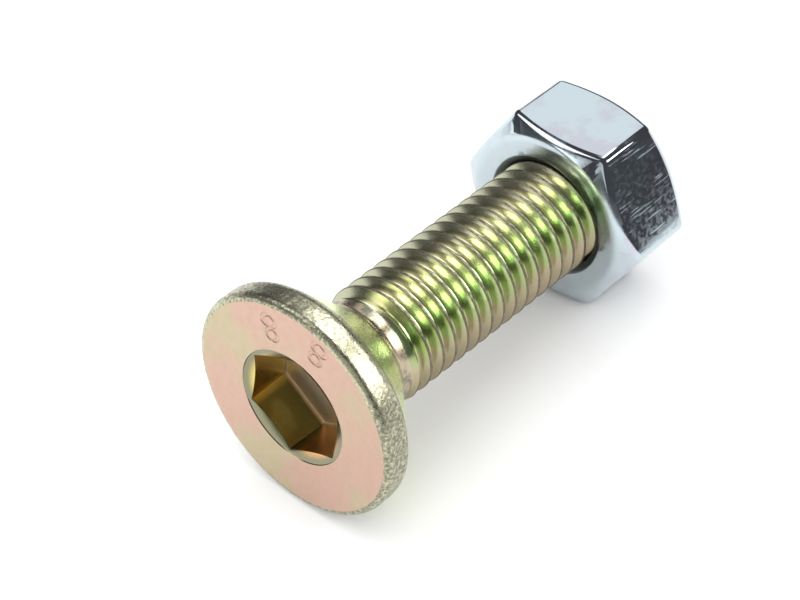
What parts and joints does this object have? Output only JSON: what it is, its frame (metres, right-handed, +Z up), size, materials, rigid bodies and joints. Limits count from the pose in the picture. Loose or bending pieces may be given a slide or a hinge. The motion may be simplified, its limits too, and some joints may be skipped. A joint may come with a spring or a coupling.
{
  "type": "countersunk socket screw with nut",
  "caption": "Countersunk screw with a flat head, hexagon socket and coarse metric thread, lying on its side with a hexagon nut run onto the end of the thread.",
  "frame": {"origin": "on the floor, under the middle of what the screw and nut cover as they lie", "axes": "+X runs along the screw from the head towards the point, which dips 3.08 degrees; +Z is up; the screw's axis lies in the XZ plane"},
  "size_m": [0.0468, 0.0236, 0.0236],
  "materials": {
    "yellow_zinc": "yellow passivated zinc plate, satin",
    "bright_zinc": "blue passivated zinc plate, bright"
  },
  "bodies": {
    "screw": {"screw": "yellow_zinc"},
    "nut": {"nut": "bright_zinc"}
  },
  "joints": [
    {"name": "nut_travel", "type": "slide", "parent": "screw", "child": "nut", "axis": [0.9986, 0, -0.0537], "range_m": [-0.0245, 0.0105]}
  ]
}
